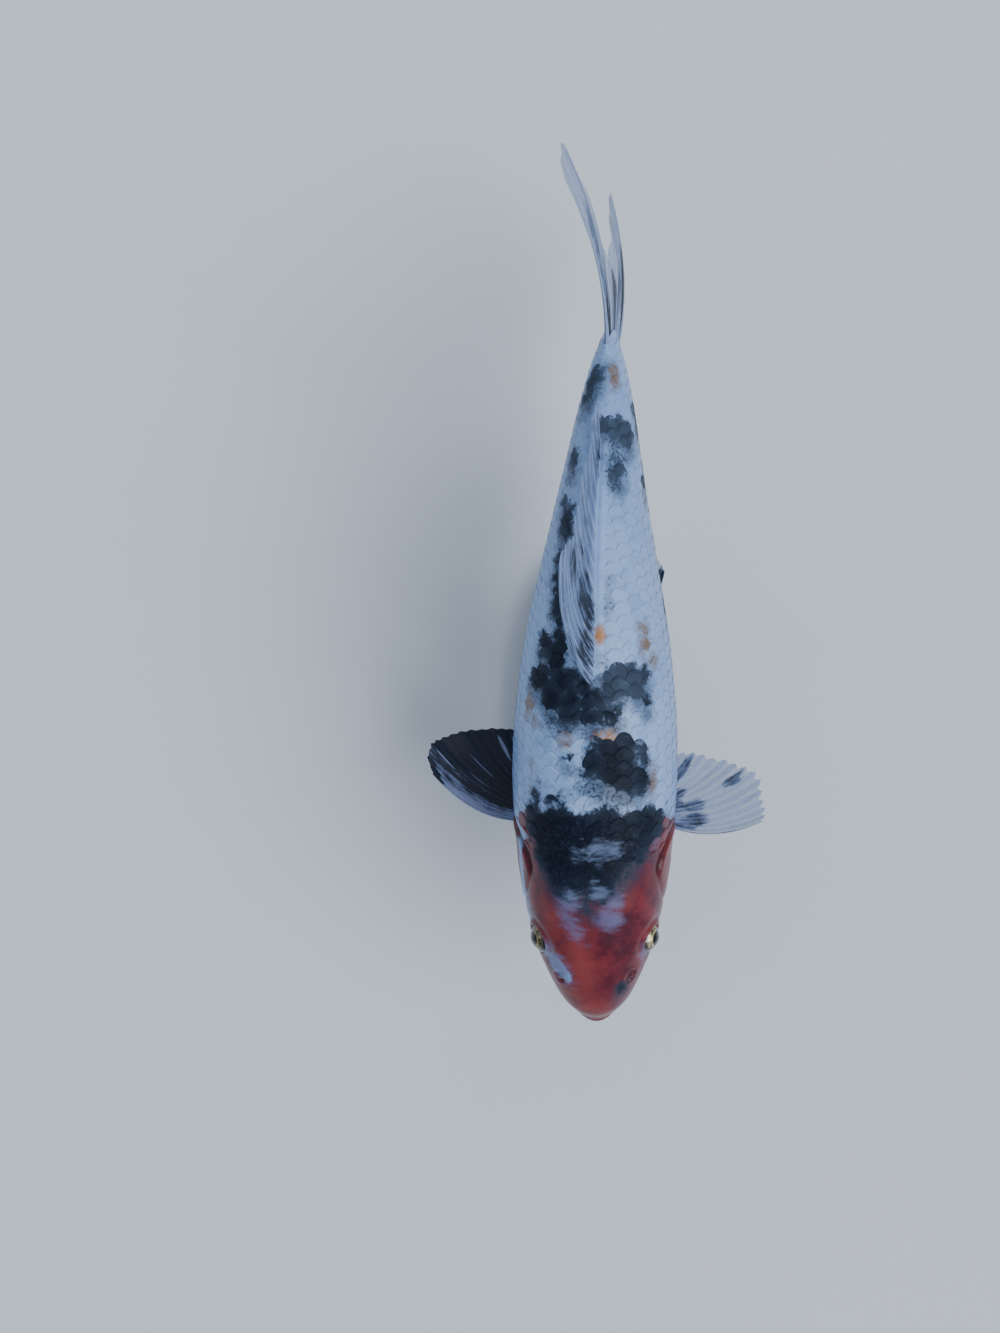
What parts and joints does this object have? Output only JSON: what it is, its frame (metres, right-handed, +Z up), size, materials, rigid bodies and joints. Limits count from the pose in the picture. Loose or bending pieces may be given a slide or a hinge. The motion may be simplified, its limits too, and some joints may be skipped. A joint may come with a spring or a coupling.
{
  "type": "koi carp",
  "caption": "Still, life-size koi carp with spread pectoral fins, a half-folded dorsal fin and a forked tail, held level over a flat base by two short rods.",
  "frame": {"origin": "centre of the flat underside of the stand's base", "axes": "+X towards the fish's left side, +Y towards its tail so that the snout points to -Y, +Z up"},
  "size_m": [0.1404, 0.3473, 0.1537],
  "materials": {
    "red_skin": "wet, satin, brick-red skin with black and lilac-white patches",
    "white_skin": "wet, satin, bluish-white scaled skin with black blotches",
    "pale_fin": "translucent pale membrane over jointed rays, with black streaks",
    "black_fin": "black membrane over paler rays, with a white leading edge",
    "eye": "glossy black pupil in a thin golden iris",
    "barbel": "soft flesh-coloured feeler",
    "stand_plate": "matt black powder coat over steel plate",
    "stand_rod": "brushed steel rod"
  },
  "bodies": {
    "root": {"head": "red_skin", "lip_upper": "red_skin", "jaw_lower": "red_skin", "gill_cover_left": "red_skin", "gill_cover_right": "red_skin", "trunk_front": "white_skin", "trunk_middle": "white_skin", "trunk_rear": "white_skin", "tail_stalk": "white_skin", "dorsal_fin": "pale_fin", "pectoral_fin_left": "pale_fin", "pectoral_fin_right": "black_fin", "pelvic_fin_left": "pale_fin", "pelvic_fin_right": "pale_fin", "anal_fin": "pale_fin", "tail_fin_upper": "pale_fin", "tail_fin_lower": "pale_fin", "eye_left": "eye", "eye_right": "eye", "barbel_lip_left": "barbel", "barbel_lip_right": "barbel", "barbel_corner_left": "barbel", "barbel_corner_right": "barbel", "stand_base": "stand_plate", "stand_rod_front": "stand_rod", "stand_rod_rear": "stand_rod"}
  },
  "joints": []
}
